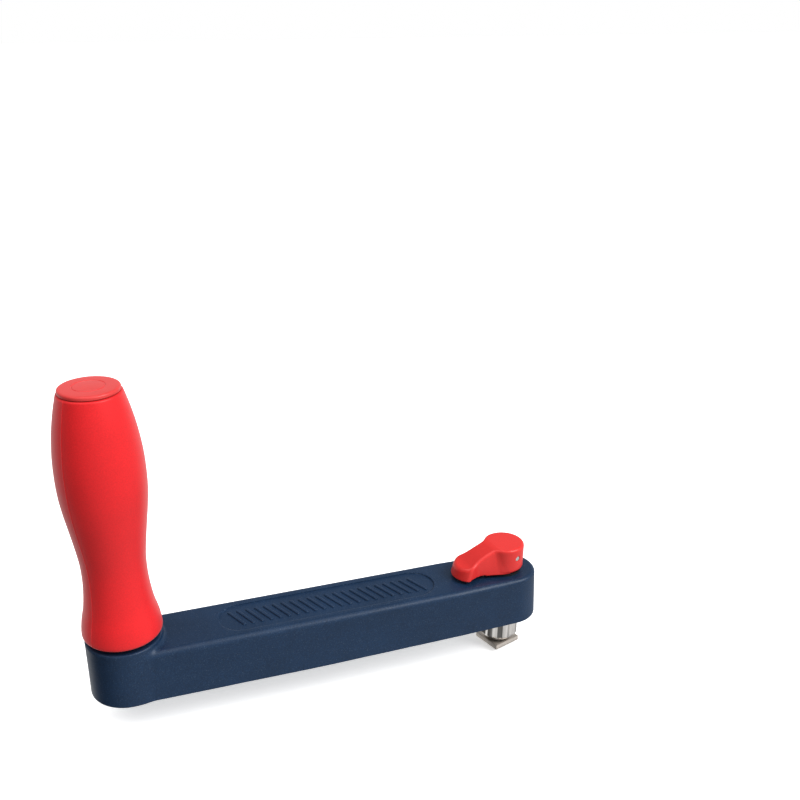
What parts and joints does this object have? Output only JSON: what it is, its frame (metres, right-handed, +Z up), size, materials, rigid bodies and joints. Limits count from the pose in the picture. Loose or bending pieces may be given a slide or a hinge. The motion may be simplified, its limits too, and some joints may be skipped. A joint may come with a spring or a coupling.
{
  "type": "winch handle",
  "caption": "Floating winch handle with a moulded arm, a freely spinning grip, and a sprung lock lever that turns a square lock plate below an eight-point drive stud.",
  "frame": {"origin": "on the drive axis, in the plane of the arm's underside, which rests on the winch", "axes": "+Z up along the drive axis and the grip, -X from the drive axis towards the grip axis"},
  "size_m": [0.2448, 0.0404, 0.1814],
  "materials": {
    "arm_plastic": "fine textured navy blue glass-filled nylon, satin",
    "cover_plastic": "textured navy blue nylon",
    "grip_rubber": "satin soft-touch red elastomer with fine grain",
    "cap_plastic": "satin red moulded plastic",
    "lever_plastic": "semi-gloss red moulded plastic",
    "core_plastic": "black moulded nylon",
    "acetal": "natural acetal",
    "foam": "closed-cell buoyancy foam",
    "seal_rubber": "black nitrile",
    "chrome": "polished chrome",
    "plate_steel": "dull cut stainless steel",
    "stainless": "machined stainless steel",
    "spring_steel": "drawn stainless spring wire"
  },
  "bodies": {
    "arm": {"arm_shell": "arm_plastic", "bottom_cover": "cover_plastic", "cover_gasket": "seal_rubber", "cover_screws": "stainless", "foam_core": "foam", "drive_stud": "chrome", "stud_washer": "stainless", "stud_nut": "stainless", "shaft_seal": "seal_rubber", "stop_pin": "stainless", "grip_spindle": "stainless", "spindle_washer": "stainless", "spindle_nut": "stainless", "thrust_washer": "acetal", "retaining_washer": "stainless", "retaining_screw": "stainless", "lever_washer": "core_plastic"},
    "lock": {"lock_lever": "lever_plastic", "lever_pin": "stainless", "lever_spring": "spring_steel", "lock_shaft": "stainless", "lock_plate": "plate_steel", "plate_screw": "plate_steel"},
    "grip": {"grip_sleeve": "grip_rubber", "grip_core": "core_plastic", "lower_bush": "acetal", "upper_bush": "acetal", "grip_cap": "cap_plastic"}
  },
  "joints": [
    {"name": "grip_spin", "type": "hinge", "parent": "arm", "child": "grip", "pos_m": [-0.205, 0, 0.09], "axis": [0, 0, 1], "continuous": true},
    {"name": "lock_turn", "type": "hinge", "parent": "arm", "child": "lock", "pos_m": [0, 0, 0.02], "axis": [0, 0, 1], "range_deg": [0, 22.5], "stiffness_Nm_per_rad": 0.15, "springref_deg": -28.65, "deforming": ["lever_spring"]}
  ]
}
